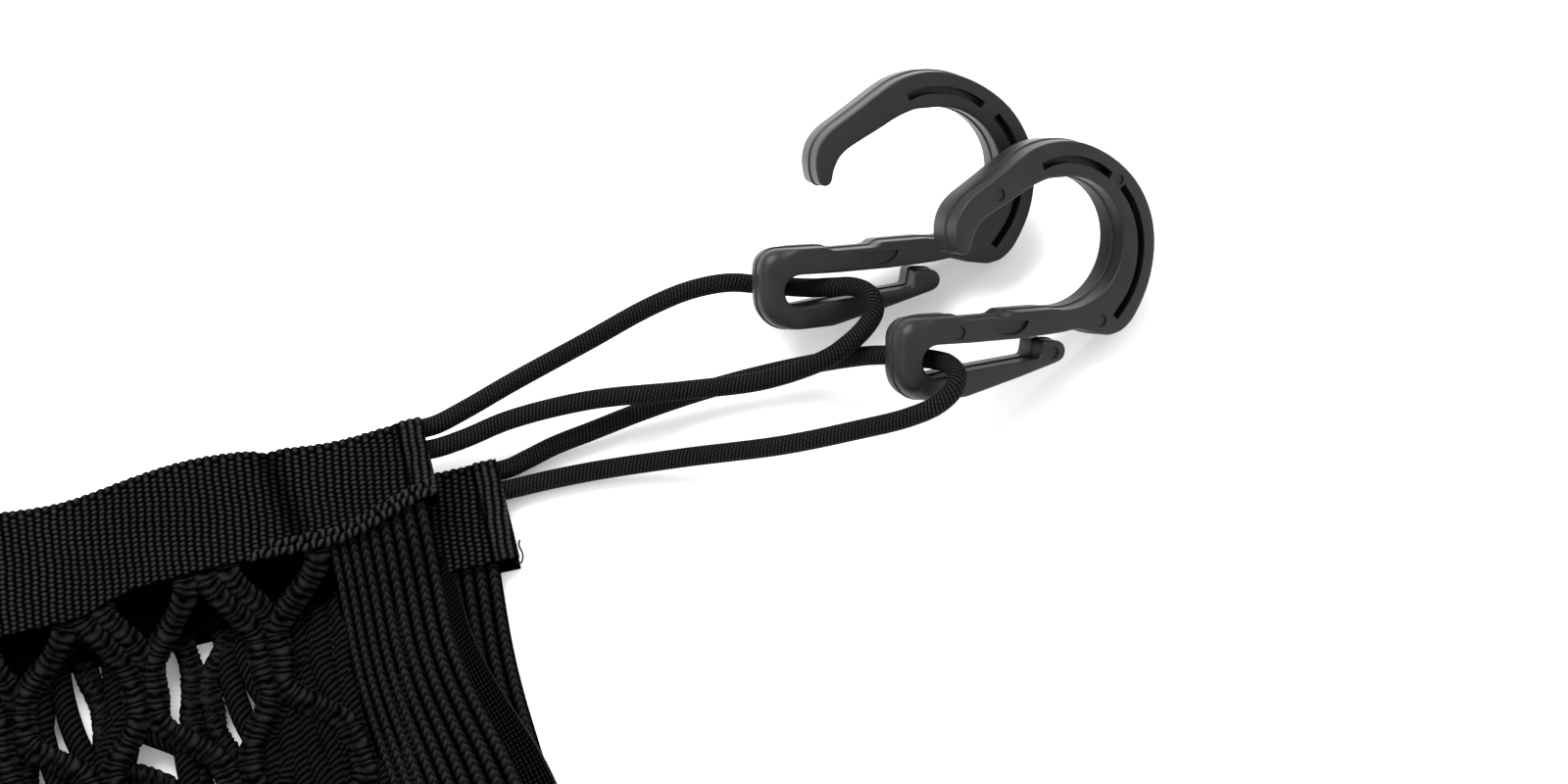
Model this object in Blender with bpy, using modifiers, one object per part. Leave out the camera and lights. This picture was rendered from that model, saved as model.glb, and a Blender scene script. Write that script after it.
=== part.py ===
"""Two-layer cargo net: a net panel folded at the bottom, a woven band along the top of each layer,
ribbed elastics down the sides, and a bungee loop with a plastic hook at each end of each band.
It lies on a level surface at z = 0, X along the bands, Y towards them, metres."""

import math

import bmesh
import bpy
import numpy as np
from mathutils import Matrix, Vector

MM = 0.001

# Overall size: the back layer's band runs from -HALF_LENGTH to HALF_LENGTH
HALF_LENGTH = 350.0 * MM
TOP_BACK = 141.0 * MM
TOP_FRONT = 150.0 * MM
BOTTOM = -150.0 * MM
FRONT_INSET = 13.2 * MM

# Folded woven band: two leaves with the net's edge between them
BAND_WIDTH = 24.0 * MM
LEAF = 1.1 * MM
BAND_RADIUS = 2.35 * MM
BAND_MID_BACK = 2.9 * MM
BAND_MID_FRONT = 9.6 * MM
TUCK = 9.0 * MM

# Net panel and ribbed side elastics
NET_THICKNESS = 3.0 * MM
NET_MID_BACK = 1.5 * MM
NET_MID_FRONT = 6.4 * MM
ELASTIC_THICKNESS = 2.0 * MM
ELASTIC_WIDTH = 21.5 * MM
ELASTIC_MID_BACK = 1.0 * MM
ELASTIC_MID_FRONT = 6.2 * MM
SEAM_GAP = 0.6 * MM
CELLS = 26
GAP_HEIGHT = 10.0 * MM

# Bungee loops
CORD_DIAMETER = 4.0 * MM
CORD_SIDES = 2
CORD_STEP = 3.2 * MM

# Hook: ring centre at its own origin, length along U, height along V, front face at n = 0
HOOK_THICKNESS = 9.4
RING_INNER = 13.7
RING_OUTSIDE = (
    (-26.2, 1.2), (-26.1, 3.8), (-25.2, 6.4), (-23.2, 8.8), (-20.0, 11.0), (-16.0, 13.6), (-12.0, 16.3),
    (-8.0, 18.6), (-4.0, 19.8), (0.0, 20.1), (4.0, 19.6), (8.5, 18.0), (13.0, 15.4), (17.0, 11.9),
    (20.0, 7.6), (21.8, 3.0), (22.4, -2.0), (21.9, -7.0), (20.6, -11.4), (18.6, -15.4), (16.8, -18.0),
    (14.4, -19.9),
)

# Centre of each hook's ring (mm), then its turn, dip and lean (degrees)
HOOK_PLACES = {
    "front": ((452.5, 175.3, 23.0), (-1.0, 15.0, 38.0)),
    "back": ((473.7, 151.7, 24.7), (4.0, 24.0, 40.0)),
}

# Route of each loop from its band's end, round its hook and back (mm)
CORD_ROUTES = {
    "front": (
        (337.2, 148.6, 9.6), (340.4, 148.8, 9.6), (346.8, 150.7, 9.7), (357.2, 154.4, 9.8),
        (375.2, 160.3, 9.9),
        (388.7, 164.9, 9.8), (398.0, 166.9, 9.6), (406.2, 166.9, 9.2), (414.1, 165.2, 7.6),
        (419.0, 163.1, 8.4), (422.8, 160.4, 11.1), (426.5, 157.9, 14.2), (430.3, 155.7, 16.3),
        (432.8, 152.4, 17.4), (432.7, 148.8, 17.3), (429.9, 145.7, 16.8), (425.5, 143.0, 16.3),
        (420.4, 141.0, 15.9), (407.6, 140.0, 14.6), (391.5, 142.4, 13.0), (371.6, 145.8, 11.4),
        (355.1, 145.9, 10.3), (346.0, 144.3, 9.8), (340.6, 143.6, 9.6), (337.2, 143.5, 9.6),
    ),
    "back": (
        (350.4, 138.7, 3.0), (353.4, 138.9, 3.0), (357.6, 140.0, 3.1), (363.2, 141.5, 3.3),
        (371.1, 142.7, 3.7),
        (382.6, 144.4, 4.4), (395.0, 145.4, 5.4), (407.5, 145.5, 6.6), (418.7, 144.6, 8.2),
        (425.1, 143.2, 10.2), (430.4, 141.1, 12.9), (434.6, 139.0, 14.7), (438.3, 136.9, 15.9),
        (441.3, 134.1, 18.7), (443.4, 130.9, 21.7), (444.1, 127.3, 23.5), (442.6, 124.0, 23.7),
        (438.8, 122.0, 22.5), (432.6, 121.9, 19.9), (422.1, 123.9, 15.4), (407.8, 126.6, 10.6),
        (388.2, 131.2, 5.6), (370.3, 133.7, 3.5), (359.4, 134.2, 3.0), (354.0, 134.1, 3.0), (350.4, 134.1, 3.0),
    ),
}


def clear_scene():
    for thing in list(bpy.data.objects):
        bpy.data.objects.remove(thing, do_unlink=True)


def new_collection(name):
    group = bpy.data.collections.new(name)
    bpy.context.scene.collection.children.link(group)
    return group


def make_material(name, colour, roughness):
    material = bpy.data.materials.new(name)
    material.use_nodes = True
    shader = material.node_tree.nodes["Principled BSDF"]
    shader.inputs["Base Color"].default_value = (*colour, 1.0)
    shader.inputs["Roughness"].default_value = roughness
    shader.inputs["Metallic"].default_value = 0.0
    return material


def smooth(value):
    """0 below 0, 1 above 1, with an easy curve between."""
    t = np.clip(value, 0.0, 1.0)
    return t * t * (3.0 - 2.0 * t)


def bump(x, centre, width):
    return np.exp(-(((x - centre) / width) ** 2))


def band_lift(x, layer):
    """How far a band's middle stands above its resting height, with the fabric's slow waves."""
    a = np.abs(x)
    if layer == "back":
        return 0.0 * a
    waves = 0.7 + 0.7 * np.sin(a / (21.0 * MM)) * smooth((250.0 * MM - a) / (60.0 * MM))
    return MM * (waves + 1.6 * bump(a, 290 * MM, 14 * MM) + 1.5 * bump(a, 336 * MM, 12 * MM))


def band_tilt(x, layer):
    """Height of the top edge above the lower edge."""
    a = np.abs(x)
    if layer == "back":
        return 0.0 * a
    return MM * (1.6 * bump(a, 248 * MM, 30 * MM) - 2.4 * bump(a, 340 * MM, 18 * MM))


def band_top(x, layer):
    a = np.abs(x)
    if layer == "back":
        return TOP_BACK - 0.6 * MM * (1.0 + np.sin(a / (34.0 * MM))) * smooth((330 * MM - a) / (40 * MM))
    dips = 1.5 * bump(a, 262 * MM, 12 * MM) + 0.9 * bump(a, 318 * MM, 12 * MM)
    slow = 0.9 * np.sin(a / (27.0 * MM)) * smooth((245.0 * MM - a) / (40.0 * MM))
    return TOP_FRONT + 1.4 * MM * bump(a, 292 * MM, 20 * MM) - MM * (dips + slow)


def band_low(x, layer):
    """The lower edge; over the side elastic the front one climbs towards the corner."""
    a = np.abs(x)
    if layer == "back":
        return band_top(x, layer) - BAND_WIDTH + 0.5 * MM
    sag = 3.6 * MM * smooth((276 * MM - a) / (16 * MM))
    sag = sag - 1.6 * MM * np.sin(a / (19.0 * MM)) * smooth((235.0 * MM - a) / (40.0 * MM))
    climb = 5.0 * MM * smooth((a - 314 * MM) / (24 * MM))
    return TOP_FRONT - BAND_WIDTH - 0.4 * MM - sag + climb


def side_edge(y, layer):
    """Half width out to the elastic's outer side at height y, drawn in a little below the band."""
    edge = HALF_LENGTH - 2.6 * MM - 1.9 * MM * bump(y, 96 * MM, 24 * MM) - 1.2 * MM * bump(y, 0.0, 70 * MM)
    if layer == "front":
        edge = edge - FRONT_INSET * (y - BOTTOM) / (TOP_FRONT - BOTTOM)
    return edge


def band_middle(x, y, layer):
    """Height of the surface midway between a band's two leaves."""
    top, low = band_top(x, layer), band_low(x, layer)
    base = BAND_MID_FRONT if layer == "front" else BAND_MID_BACK
    share = (y - 0.5 * (top + low)) / (top - low)
    return base + band_lift(x, layer) + band_tilt(x, layer) * share


def layer_height(x, y, layer, resting):
    """A layer's middle height: level below, rising under the band to pass between its leaves."""
    low = band_low(x, layer)
    reach = 16.0 * MM
    rise = smooth((y - (low - reach)) / (reach - 1.5 * MM))
    return resting + rise * (band_middle(x, np.maximum(y, low), layer) - resting)


def fold_stations(leg_steps, turn_steps):
    """Stations along a U: legs at -1 .. 0 and 1 .. 2, the turn between at 0 .. 1."""
    first = np.linspace(-1.0, 0.0, leg_steps + 1)
    turn = np.linspace(0.0, 1.0, turn_steps + 1)[1:]
    last = np.linspace(1.0, 2.0, leg_steps + 1)[1:]
    return np.concatenate([first, turn, last])


def sheet(name, columns, stations, surface, thickness, material, keep=None):
    """A grid whose points follow surface(column, station), thickened evenly to both sides."""
    mesh = bpy.data.meshes.new(name)
    bm = bmesh.new()
    across, along = len(columns), len(stations)
    bmesh.ops.create_grid(bm, x_segments=across - 1, y_segments=along - 1, size=1.0)
    bm.verts.ensure_lookup_table()
    for vertex in bm.verts:
        i = round((vertex.co.x + 1.0) / 2.0 * (across - 1))
        j = round((vertex.co.y + 1.0) / 2.0 * (along - 1))
        vertex.co = surface(columns[i], stations[j], i, j)
    if keep:
        bm.faces.ensure_lookup_table()
        dropped = [face for index, face in enumerate(bm.faces) if not keep(face)]
        bmesh.ops.delete(bm, geom=dropped, context="FACES")
    bm.to_mesh(mesh)
    bm.free()
    thing = bpy.data.objects.new(name, mesh)
    wall = thing.modifiers.new("wall", "SOLIDIFY")
    wall.thickness = thickness
    wall.offset = 0.0
    wall.use_even_offset = True
    mesh.materials.append(material)
    mesh.shade_smooth()
    parts.objects.link(thing)
    return thing


def band(name, layer, half, material):
    """Folded webbing: a U of two leaves, closed along the top edge."""
    columns = np.linspace(-half, half, 65)

    def surface(x, station, i, j):
        top, low = float(band_top(x, layer)), float(band_low(x, layer))
        fold = top - BAND_RADIUS - 0.5 * LEAF
        if station < 0.0:
            y, rise = fold + station * (fold - low), -BAND_RADIUS
        elif station > 1.0:
            y, rise = fold - (station - 1.0) * (fold - low), BAND_RADIUS
        else:
            angle = math.pi * (station - 0.5)
            y, rise = fold + BAND_RADIUS * math.cos(angle), BAND_RADIUS * math.sin(angle)
        return Vector((x, y, float(band_middle(x, y, layer)) + rise))

    return sheet(name, columns, fold_stations(2, 5), surface, LEAF, material)


def panel_point(x_of, station, resting_back, resting_front, heights):
    """A point of a sheet that runs up the back layer, round the bottom fold and up the front."""
    radius = 0.5 * (resting_front - resting_back)
    fold = BOTTOM + radius + NET_THICKNESS
    if 0.0 <= station <= 1.0:
        angle = math.pi * (station - 0.5)
        y = fold - radius * math.cos(angle)
        z = 0.5 * (resting_front + resting_back) + radius * math.sin(angle)
        x = x_of(fold, "back")
        return Vector((x, y, z))
    layer = "back" if station < 0.0 else "front"
    share = -station if layer == "back" else station - 1.0
    x = x_of(fold, layer)
    target = float(band_low(x, layer)) + TUCK
    y = fold + heights(share) * (target - fold)
    x = x_of(y, layer)
    resting = resting_back if layer == "back" else resting_front
    return Vector((x, y, float(layer_height(x, y, layer, resting))))


def net_panel(material):
    """The openwork panel, with the wide gaps between the strand roots under each band."""
    middles = np.arange(2 * CELLS) + 0.5
    columns = np.concatenate([[0.0], middles, [2.0 * CELLS]]) / CELLS - 1.0
    field = np.array([0.0, 0.2, 0.4, 0.6, 0.78])
    length = TOP_FRONT - BAND_WIDTH + TUCK - BOTTOM
    roots = 1.0 - (TUCK + 2.0 * MM) / length
    gap_end = roots - GAP_HEIGHT / length
    shares = np.concatenate([field, [0.88, gap_end, roots, 1.0]])
    back = -shares[::-1]
    turn = np.linspace(0.0, 1.0, 6)[1:-1]
    stations = np.concatenate([back, turn, 1.0 + shares])

    def surface(u, station, i, j):
        def x_of(y, layer):
            return u * (float(side_edge(y, layer)) - ELASTIC_WIDTH - SEAM_GAP)

        point = panel_point(x_of, station, NET_MID_BACK, NET_MID_FRONT, lambda share: share)
        nearest = 1.0 if i % 2 else -1.0
        if abs(abs(station - 0.5) - 0.5 - gap_end) < 1e-6 and 0 < i < len(columns) - 1:
            cell = 2.0 * (HALF_LENGTH - ELASTIC_WIDTH) / (2 * CELLS)
            point.x += nearest * 0.28 * cell
        return point

    rows = {1, len(stations) - 3}

    def keep(face):
        across = 2 * CELLS + 1
        row, column = divmod(face.index, across)
        return not (row in rows and column % 2 == 1)

    return sheet("net", columns, stations, surface, NET_THICKNESS, material, keep)


def side_elastic(name, side, material):
    """A ribbed strip down one side of both layers, round the bottom fold."""
    columns = np.linspace(0.0, 1.0, 4)

    def surface(share_across, station, i, j):
        def x_of(y, layer):
            return side * (float(side_edge(y, layer)) - share_across * ELASTIC_WIDTH)

        return panel_point(x_of, station, ELASTIC_MID_BACK, ELASTIC_MID_FRONT, lambda share: share)

    shares = np.array([0.0, 0.12, 0.25, 0.4, 0.5, 0.6, 0.68, 0.74, 0.79, 0.83, 0.865, 0.9, 0.93, 0.96, 1.0])
    turn = np.linspace(0.0, 1.0, 6)[1:-1]
    stations = np.concatenate([-shares[::-1], turn, 1.0 + shares])
    if side < 0:
        columns = columns[::-1]
    return sheet(name, columns, stations, surface, ELASTIC_THICKNESS, material)


def smooth_route(points, step):
    """Points about one step apart on a centripetal Catmull-Rom curve through the route."""
    route = [Vector(p) for p in points]
    route = [2 * route[0] - route[1]] + route + [2 * route[-1] - route[-2]]
    dense = []
    for k in range(1, len(route) - 2):
        p0, p1, p2, p3 = route[k - 1 : k + 3]
        t1 = (p1 - p0).length ** 0.5
        t2 = t1 + (p2 - p1).length ** 0.5
        t3 = t2 + (p3 - p2).length ** 0.5
        for m in range(12):
            t = t1 + (t2 - t1) * m / 12
            a1 = p0.lerp(p1, t / t1)
            a2 = p1.lerp(p2, (t - t1) / (t2 - t1))
            a3 = p2.lerp(p3, (t - t2) / (t3 - t2))
            b1 = a1.lerp(a2, t / t2)
            b2 = a2.lerp(a3, (t - t1) / (t3 - t1))
            dense.append(b1.lerp(b2, (t - t1) / (t2 - t1)))
    dense.append(route[-2])
    lengths = [0.0]
    for before, after in zip(dense, dense[1:]):
        lengths.append(lengths[-1] + (after - before).length)
    count = max(2, round(lengths[-1] / step))
    wanted = np.linspace(0.0, lengths[-1], count + 1)
    axes = [np.interp(wanted, lengths, [p[k] for p in dense]) for k in range(3)]
    return [Vector(p) for p in zip(*axes)]


def cord(name, layer, side, material):
    curve = bpy.data.curves.new(name, "CURVE")
    curve.dimensions = "3D"
    curve.bevel_depth = CORD_DIAMETER / 2.0
    curve.bevel_resolution = CORD_SIDES
    curve.use_fill_caps = True
    route = [(side * x * MM, y * MM, z * MM) for x, y, z in CORD_ROUTES[layer]]
    points = smooth_route(route, CORD_STEP)
    spline = curve.splines.new("POLY")
    spline.points.add(len(points) - 1)
    for slot, point in zip(spline.points, points):
        slot.co = (*point, 1.0)
    curve.materials.append(material)
    thing = bpy.data.objects.new(name, curve)
    parts.objects.link(thing)
    return thing


def arc(centre, radius, start, end, count):
    angles = np.radians(np.linspace(start, end, count))
    return [(centre[0] + radius * math.cos(a), centre[1] + radius * math.sin(a)) for a in angles]


def hook_outline():
    """The moulding's outline from the arm round the ring, along the stem, tongue, tail and back."""
    arm_and_ring = smooth_route([(u, v, 0.0) for u, v in RING_OUTSIDE], 2.4)
    points = [(float(u), float(v)) for u, v, _ in arm_and_ring]
    points += [(11.6, -20.6), (8.6, -20.2), (3.6, -18.8), (0.0, -19.4), (-10.0, -20.1), (-22.0, -20.4)]
    points += arc((-30.2, -23.8), 3.4, 90.0, 268.0, 8)
    points += [(-23.5, -26.2), (-5.2, -24.4), (-4.7, -20.9), (-2.8, -20.9)]
    points += arc((-1.5, -23.2), 2.3, 70.0, -66.0, 5)
    points += [(-10.0, -28.0), (-23.0, -31.4)]
    points += arc((-31.8, -25.2), 6.6, -88.0, -180.0, 6)
    points += arc((-34.2, -19.2), 4.2, 180.0, 92.0, 5)
    points += [(-24.0, -15.0), (-22.8, -15.8), (-13.4, -15.6), (-12.4, -14.6)]
    points += arc((0.9, -1.0), RING_INNER, -102.0, 95.0, 24)
    points += [(-4.2, 12.5), (-8.0, 11.1), (-12.0, 8.9), (-16.0, 6.8), (-19.6, 4.7), (-21.3, 3.0)]
    points += [(-22.3, 0.8), (-22.6, -0.6)]
    points += arc((-24.2, -0.9), 1.6, -15.0, -165.0, 5)
    return points


def hook_matrix(layer, side):
    """Place of a hook: it turns about Z, dips about its height and leans about its length."""
    centre, angles = HOOK_PLACES[layer]
    turn, dip, lean = (math.radians(a) for a in angles)
    axes = Matrix.Rotation(turn, 4, "Z") @ Matrix.Rotation(dip, 4, "Y") @ Matrix.Rotation(lean, 4, "X")
    place = Matrix.Translation(Vector(centre) * MM) @ axes
    return Matrix.Scale(side, 4, (1.0, 0.0, 0.0)) @ place


def hook(name, layer, side, material):
    """Solid moulding: its flat outline extruded to its thickness, made a mesh and set in place."""
    curve = bpy.data.curves.new(name + "_outline", "CURVE")
    curve.dimensions = "2D"
    curve.fill_mode = "BOTH"
    curve.extrude = HOOK_THICKNESS * MM / 2.0
    outline = hook_outline()
    spline = curve.splines.new("POLY")
    spline.points.add(len(outline) - 1)
    for slot, (u, v) in zip(spline.points, outline):
        slot.co = (u * MM, v * MM, 0.0, 1.0)
    spline.use_cyclic_u = True
    guide = bpy.data.objects.new(name + "_outline", curve)
    guide.location.z = -HOOK_THICKNESS * MM / 2.0
    parts.objects.link(guide)
    bpy.context.view_layer.update()
    graph = bpy.context.evaluated_depsgraph_get()
    mesh = bpy.data.meshes.new_from_object(guide.evaluated_get(graph))
    mesh.name = name
    bm = bmesh.new()
    bm.from_mesh(mesh)
    bmesh.ops.remove_doubles(bm, verts=bm.verts, dist=0.00001)
    bm.transform(hook_matrix(layer, side) @ guide.matrix_world)
    bmesh.ops.recalc_face_normals(bm, faces=bm.faces)
    bm.to_mesh(mesh)
    bm.free()
    bpy.data.objects.remove(guide, do_unlink=True)
    mesh.materials.clear()
    mesh.materials.append(material)
    thing = bpy.data.objects.new(name, mesh)
    parts.objects.link(thing)
    return thing


def main():
    webbing = make_material("black_webbing", (0.012, 0.012, 0.012), 0.85)
    elastic = make_material("black_elastic", (0.014, 0.014, 0.014), 0.8)
    yarn = make_material("black_yarn", (0.013, 0.013, 0.013), 0.85)
    braid = make_material("black_braid", (0.015, 0.015, 0.016), 0.6)
    plastic = make_material("charcoal_plastic", (0.035, 0.035, 0.037), 0.4)

    net_panel(yarn)
    band("top_band_back", "back", HALF_LENGTH, webbing)
    band("top_band_front", "front", HALF_LENGTH - FRONT_INSET, webbing)
    for side, word in ((1, "right"), (-1, "left")):
        side_elastic("side_elastic_" + word, side, elastic)
        for layer in ("front", "back"):
            cord(f"cord_{layer}_{word}", layer, side, braid)
            hook(f"hook_{layer}_{word}", layer, side, plastic)


clear_scene()
parts = new_collection("cargo_net")
main()
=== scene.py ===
# Two-layer cargo net lying flat, with its bands, elastics, bungee loops and hooks.
# Shapes are worked out in millimetres and put into the meshes in metres.
import math
from functools import partial

import bmesh
import bpy
import numpy as np
from mathutils import Matrix, Vector
from mathutils.geometry import tessellate_polygon


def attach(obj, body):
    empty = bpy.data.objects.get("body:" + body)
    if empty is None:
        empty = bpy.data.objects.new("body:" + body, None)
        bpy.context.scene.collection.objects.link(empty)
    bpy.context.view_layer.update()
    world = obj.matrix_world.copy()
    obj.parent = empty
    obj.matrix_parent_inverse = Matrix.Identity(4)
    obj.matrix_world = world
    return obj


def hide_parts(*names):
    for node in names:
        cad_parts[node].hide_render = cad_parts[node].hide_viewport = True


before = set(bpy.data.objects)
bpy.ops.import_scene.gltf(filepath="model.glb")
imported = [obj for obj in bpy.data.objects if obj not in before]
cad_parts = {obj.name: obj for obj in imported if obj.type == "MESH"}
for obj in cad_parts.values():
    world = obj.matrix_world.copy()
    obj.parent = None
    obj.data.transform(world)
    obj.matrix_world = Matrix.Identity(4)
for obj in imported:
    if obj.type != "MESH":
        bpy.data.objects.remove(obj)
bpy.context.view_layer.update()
print("frame loaded:", len(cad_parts), "nodes")

body = "root"
mm = 0.001

# The net's layout, the same as the frame's
layout = {
    "halfLength": 350.0, "topBack": 141.0, "topFront": 150.0, "bottom": -150.0, "frontInset": 13.2,
    "bandWidth": 24.0, "bandMidBack": 2.9, "bandMidFront": 9.6, "tuck": 9.0, "elasticWidth": 21.5,
    "seamGap": 0.6, "cells": 26,
}


# Shared shape helpers

def smooth(value):
    # 0 below 0, 1 above 1, with 3t^2 - 2t^3 between
    t = np.clip(value, 0.0, 1.0)
    return t * t * (3.0 - 2.0 * t)


def bump(x, centre, width):
    return np.exp(-(((x - centre) / width) ** 2))


def bandLift(x, layer):
    # slow waves of a band's middle above its resting height
    a = np.abs(x)
    if layer == "back":
        return 0.0 * a
    waves = 0.7 + 0.7 * np.sin(a / 21.0) * smooth((250.0 - a) / 60.0)
    return waves + 1.6 * bump(a, 290, 14) + 1.5 * bump(a, 336, 12)


def bandTilt(x, layer):
    # height of the top edge above the lower edge
    a = np.abs(x)
    if layer == "back":
        return 0.0 * a
    return 1.6 * bump(a, 248, 30) - 2.4 * bump(a, 340, 18)


def bandTop(x, layer):
    a = np.abs(x)
    if layer == "back":
        return layout["topBack"] - 0.6 * (1.0 + np.sin(a / 34.0)) * smooth((330 - a) / 40)
    dips = 1.5 * bump(a, 262, 12) + 0.9 * bump(a, 318, 12)
    slow = 0.9 * np.sin(a / 27.0) * smooth((245.0 - a) / 40.0)
    return layout["topFront"] + 1.4 * bump(a, 292, 20) - dips - slow


def bandLow(x, layer):
    a = np.abs(x)
    if layer == "back":
        return bandTop(x, layer) - layout["bandWidth"] + 0.5
    sag = 3.6 * smooth((276 - a) / 16) - 1.6 * np.sin(a / 19.0) * smooth((235.0 - a) / 40.0)
    climb = 5.0 * smooth((a - 314) / 24)
    return layout["topFront"] - layout["bandWidth"] - 0.4 - sag + climb


def sideEdge(y, layer):
    # half width out to the elastic's outer side, drawn in a little below the band
    edge = layout["halfLength"] - 2.6 - 1.9 * bump(y, 96, 24) - 1.2 * bump(y, 0.0, 70)
    if layer == "front":
        edge = edge - layout["frontInset"] * (y - layout["bottom"]) / (layout["topFront"] - layout["bottom"])
    return edge


def bandMiddle(x, y, layer):
    top, low = bandTop(x, layer), bandLow(x, layer)
    base = layout["bandMidFront"] if layer == "front" else layout["bandMidBack"]
    share = (y - 0.5 * (top + low)) / (top - low)
    return base + bandLift(x, layer) + bandTilt(x, layer) * share


def layerHeight(x, y, layer, resting):
    # level below, rising under the band to pass between its leaves
    low = bandLow(x, layer)
    rise = smooth((y - (low - 16.0)) / 14.5)
    return resting + rise * (bandMiddle(x, np.maximum(y, low), layer) - resting)


def steps(start, stop, size):
    # even values from start to stop, about size apart
    return np.linspace(start, stop, max(2, int(round(abs(stop - start) / size)) + 1))


def joined(*runs):
    # several runs of stations one after another, without the shared ends twice
    return np.concatenate([runs[0]] + [run[1:] for run in runs[1:]])


def along(points):
    # distance along a polyline, from its first point
    return np.concatenate([[0.0], np.cumsum(np.linalg.norm(np.diff(points, axis=0), axis=1))])


def putMesh(name, verts, faces, uvs, material, relief=None):
    # makes an object from points in millimetres, a list of (corner array, uv array) face blocks
    # of equal corner counts, and turns the faces outwards by the sign of the enclosed volume
    corners = np.concatenate([block.reshape(-1) for block in faces])
    sizes = np.concatenate([np.full(len(block), block.shape[1]) for block in faces])
    starts = np.concatenate([[0], np.cumsum(sizes)[:-1]])
    uv = np.concatenate([block.reshape(-1, 2) for block in uvs])
    mesh = bpy.data.meshes.new(name)
    mesh.vertices.add(len(verts))
    mesh.vertices.foreach_set("co", (np.asarray(verts) * mm).astype(np.float32).reshape(-1))
    mesh.loops.add(len(corners))
    mesh.loops.foreach_set("vertex_index", corners.astype(np.int32))
    mesh.polygons.add(len(sizes))
    mesh.polygons.foreach_set("loop_start", starts.astype(np.int32))
    mesh.update(calc_edges=True)
    layer = mesh.uv_layers.new(name="weave")
    layer.data.foreach_set("uv", uv.astype(np.float32).reshape(-1))
    # the relief attribute: per-point heights that the fabrics turn into painted shade where low and painted
    # sheen where high
    raised = mesh.attributes.new("relief", "FLOAT", "POINT")
    heights = np.ones(len(verts)) if relief is None else np.clip(relief, 0.0, 1.0)
    raised.data.foreach_set("value", heights.astype(np.float32))
    mesh.shade_smooth()
    mesh.validate()
    mesh.calc_loop_triangles()
    tris = np.empty(len(mesh.loop_triangles) * 3, np.int32)
    mesh.loop_triangles.foreach_get("vertices", tris)
    t = np.asarray(verts)[tris.reshape(-1, 3)]
    volume = np.einsum("ij,ij->i", t[:, 0], np.cross(t[:, 1], t[:, 2])).sum()
    if volume < 0:
        mesh.flip_normals()
    mesh.materials.append(material)
    thing = bpy.data.objects.new(name, mesh)
    bpy.context.scene.collection.objects.link(thing)
    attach(thing, body)
    return thing


def tubeBlocks(grid, alongMm, aroundMm, first=0):
    # faces and uvs of closed rings along a path: grid is (stations, sides, 3), and the uv is
    # (distance along, distance around) in millimetres. Both ends are capped
    n, sides = grid.shape[:2]
    i, j = np.meshgrid(np.arange(n - 1), np.arange(sides), indexing="ij")
    k = (j + 1) % sides
    quads = np.stack([i * sides + j, (i + 1) * sides + j, (i + 1) * sides + k, i * sides + k], -1)
    u = np.asarray(alongMm)
    v = np.asarray(aroundMm)
    quadUv = np.stack([
        np.stack([u[i], v[j]], -1), np.stack([u[i + 1], v[j]], -1),
        np.stack([u[i + 1], v[j + 1]], -1), np.stack([u[i], v[j + 1]], -1),
    ], -2)
    caps = np.stack([np.arange(sides), (n - 1) * sides + np.arange(sides)[::-1]])
    capUv = np.zeros((2, sides, 2))
    capUv[0, :, 0], capUv[1, :, 0] = u[0], u[-1]
    capUv[:, :, 1] = v[:-1]
    return first + quads.reshape(-1, 4), quadUv.reshape(-1, 4, 2), first + caps, capUv


def tubes(name, grids, alongs, arounds, material, reliefs=None):
    # one mesh from several capped tubes
    faces, uvs, caps, capUvs, first = [], [], [], [], 0
    for grid, u, v in zip(grids, alongs, arounds):
        quads, quadUv, cap, capUv = tubeBlocks(grid, u, v, first)
        faces.append(quads)
        uvs.append(quadUv)
        caps.append(cap)
        capUvs.append(capUv)
        first += grid.shape[0] * grid.shape[1]
    verts = np.concatenate([grid.reshape(-1, 3) for grid in grids])
    relief = None if reliefs is None else np.concatenate([np.ravel(one) for one in reliefs])
    return putMesh(name, verts, faces + caps, uvs + capUvs, material, relief)


def frames(path, reference):
    # side and normal directions along a path: the side is the reference direction made square
    # to the path's tangent, and the normal completes the right-handed set
    tangent = np.gradient(path, axis=0)
    tangent /= np.linalg.norm(tangent, axis=1)[:, None]
    side = reference - tangent * (tangent @ reference)[:, None]
    side /= np.linalg.norm(side, axis=1)[:, None]
    return side, np.cross(tangent, side)


def carriedFrames(path, start):
    # frames without twist: each side direction is the last one turned by the least angle that
    # keeps it square to the tangent, worked out step by step along the few path points
    tangent = np.gradient(path, axis=0)
    tangent /= np.linalg.norm(tangent, axis=1)[:, None]
    side = np.empty_like(path)
    now = np.asarray(start, float)
    for k, t in enumerate(tangent):
        now = now - t * (now @ t)
        now = now / np.linalg.norm(now)
        side[k] = now
    return side, np.cross(tangent, side)


def ring(path, side, normal, angles, radiusSide, radiusNormal):
    # point = centre + side * cos(angle) * radiusSide + normal * sin(angle) * radiusNormal
    c = np.cos(angles)[None, :, None] * side[:, None, :] * radiusSide[..., None]
    s = np.sin(angles)[None, :, None] * normal[:, None, :] * radiusNormal[..., None]
    return path[:, None, :] + c + s


# Materials

def newGroup(name, inputs, outputs):
    # a node group whose sockets are given by default value: None is a vector and a tuple a colour
    group = bpy.data.node_groups.new(name, "ShaderNodeTree")
    kinds = {tuple: "NodeSocketColor", float: "NodeSocketFloat"}
    for way, sockets in (("INPUT", inputs), ("OUTPUT", outputs)):
        for label, value in sockets.items():
            kind = kinds.get(type(value), "NodeSocketVector")
            socket = group.interface.new_socket(name=label, in_out=way, socket_type=kind)
            if value is not None:
                socket.default_value = value
    return group, group.nodes.new("NodeGroupInput"), group.nodes.new("NodeGroupOutput")


def mathNode(tree, operation, first, second=None, third=None):
    node = tree.nodes.new("ShaderNodeMath")
    node.operation = operation
    for socket, value in zip(node.inputs, (first, second, third)):
        if value is None:
            continue
        if isinstance(value, (int, float)):
            socket.default_value = value
        else:
            tree.links.new(value, socket)
    return node.outputs[0]


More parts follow.
